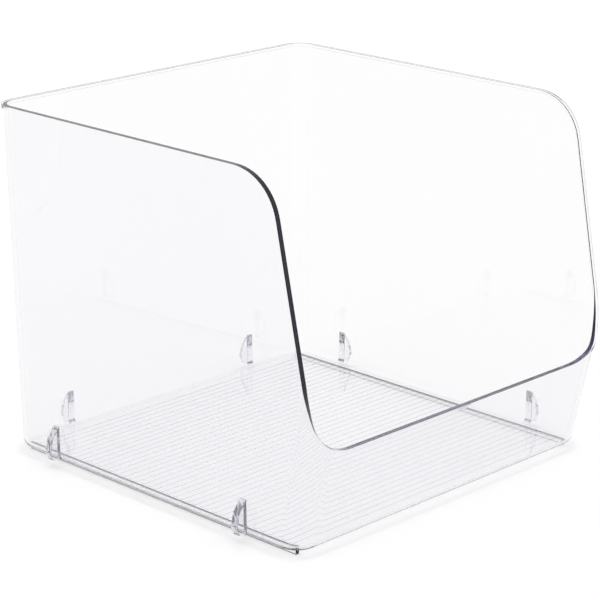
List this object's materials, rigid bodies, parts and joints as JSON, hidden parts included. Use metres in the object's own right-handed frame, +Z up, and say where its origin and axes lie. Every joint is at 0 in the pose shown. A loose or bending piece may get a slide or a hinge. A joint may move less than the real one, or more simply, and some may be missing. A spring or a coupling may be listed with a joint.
{
  "type": "stackable storage bin",
  "caption": "Clear open-fronted square storage bin with a beaded rim, slanted side edges, a low front lip, a ribbed floor, base runners and stacking lugs.",
  "frame": {"origin": "middle of the footprint, lugs included, on the floor plane that the runners rest on", "axes": "+Z up, -Y towards the open front and its low lip, +X towards the right side wall seen from the front"},
  "size_m": [0.2492, 0.2492, 0.204],
  "materials": {
    "clear_plastic": "polished, transparent"
  },
  "bodies": {
    "root": {"floor_panel": "clear_plastic", "back_wall": "clear_plastic", "front_wall": "clear_plastic", "left_side_wall": "clear_plastic", "right_side_wall": "clear_plastic", "back_left_corner": "clear_plastic", "back_right_corner": "clear_plastic", "front_left_corner": "clear_plastic", "front_right_corner": "clear_plastic", "back_rim": "clear_plastic", "back_left_rim_corner": "clear_plastic", "back_right_rim_corner": "clear_plastic", "left_rim": "clear_plastic", "right_rim": "clear_plastic", "left_shoulder_rim": "clear_plastic", "right_shoulder_rim": "clear_plastic", "left_front_rim": "clear_plastic", "right_front_rim": "clear_plastic", "front_lip": "clear_plastic", "left_runner": "clear_plastic", "right_runner": "clear_plastic", "left_rear_lug": "clear_plastic", "left_front_lug": "clear_plastic", "right_rear_lug": "clear_plastic", "right_front_lug": "clear_plastic", "back_left_lug": "clear_plastic", "back_right_lug": "clear_plastic"}
  },
  "joints": []
}
